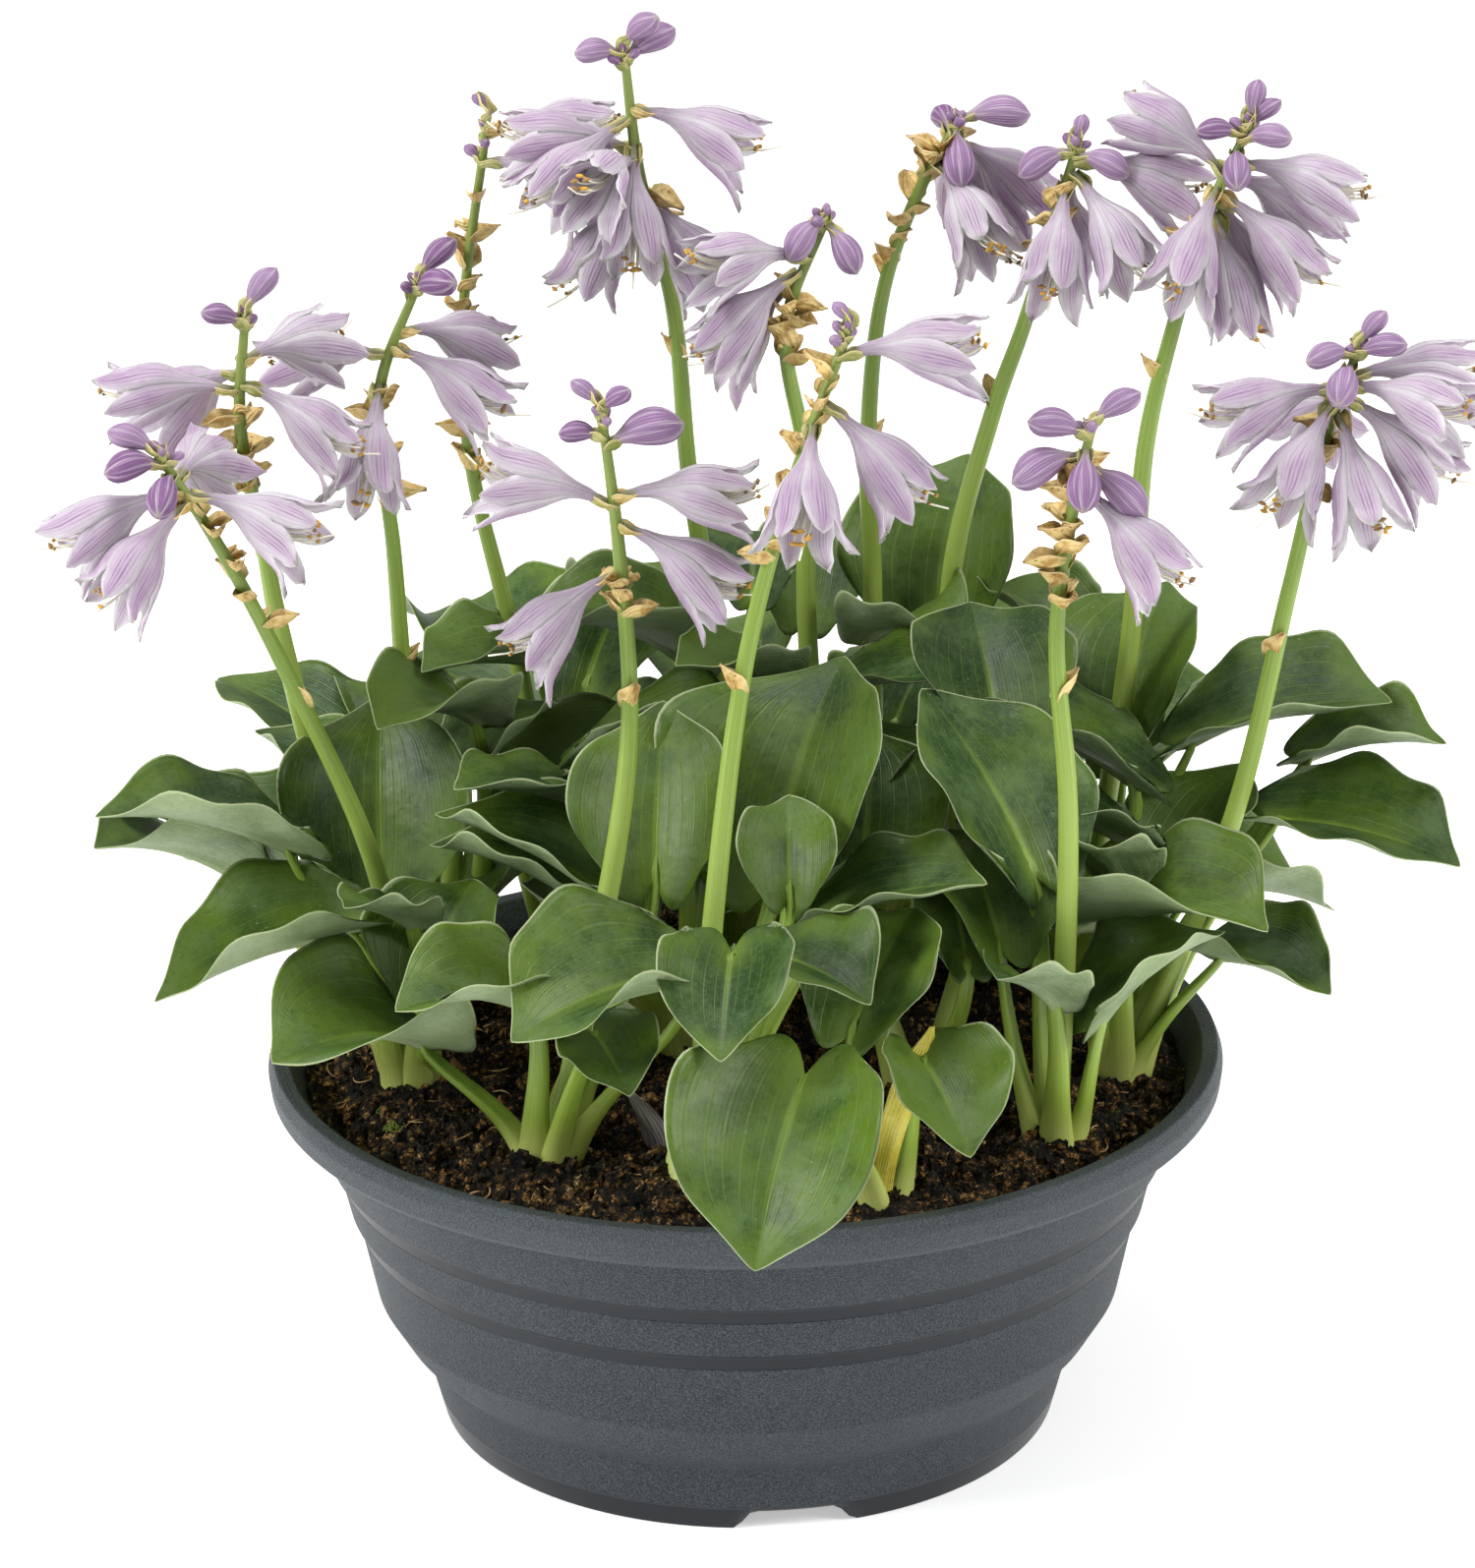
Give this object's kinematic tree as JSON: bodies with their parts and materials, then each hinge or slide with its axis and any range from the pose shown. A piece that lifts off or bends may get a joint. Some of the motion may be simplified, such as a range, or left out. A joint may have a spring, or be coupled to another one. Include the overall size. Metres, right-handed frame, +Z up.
{
  "type": "potted plant",
  "caption": "Flowering hosta with broad waved leaves and bell-shaped blooms on tall stems, growing in soil in a round stepped plastic bowl pot.",
  "frame": {"origin": "middle of the whole plant's outline seen from above, at the level the pot stands on", "axes": "+Z up along the pot's axis, -Y towards the front of the picture, +X to its right"},
  "size_m": [0.5002, 0.4392, 0.5129],
  "materials": {
    "pot": "slate grey, fine leather grain, smooth bands",
    "soil": "dark crumbly peat with brown fibres",
    "foliage": "satin, grey-green, with a thin pale margin",
    "flowers": "soft pale lilac with violet stripes"
  },
  "bodies": {
    "root": {"pot": "pot", "soil": "soil", "shoot_01": "foliage", "shoot_02": "foliage", "shoot_03": "foliage", "shoot_04": "foliage", "shoot_05": "foliage", "shoot_06": "foliage", "shoot_07": "foliage", "shoot_08": "foliage", "shoot_09": "foliage", "shoot_10": "foliage", "shoot_11": "foliage", "shoot_12": "foliage", "shoot_13": "foliage", "shoot_14": "foliage", "shoot_15": "foliage", "shoot_16": "foliage", "raceme_01": "flowers", "raceme_02": "flowers", "raceme_03": "flowers", "raceme_04": "flowers", "raceme_05": "flowers", "raceme_06": "flowers", "raceme_07": "flowers", "raceme_08": "flowers", "raceme_09": "flowers", "raceme_10": "flowers", "raceme_11": "flowers", "raceme_13": "flowers", "raceme_14": "flowers"}
  },
  "joints": []
}
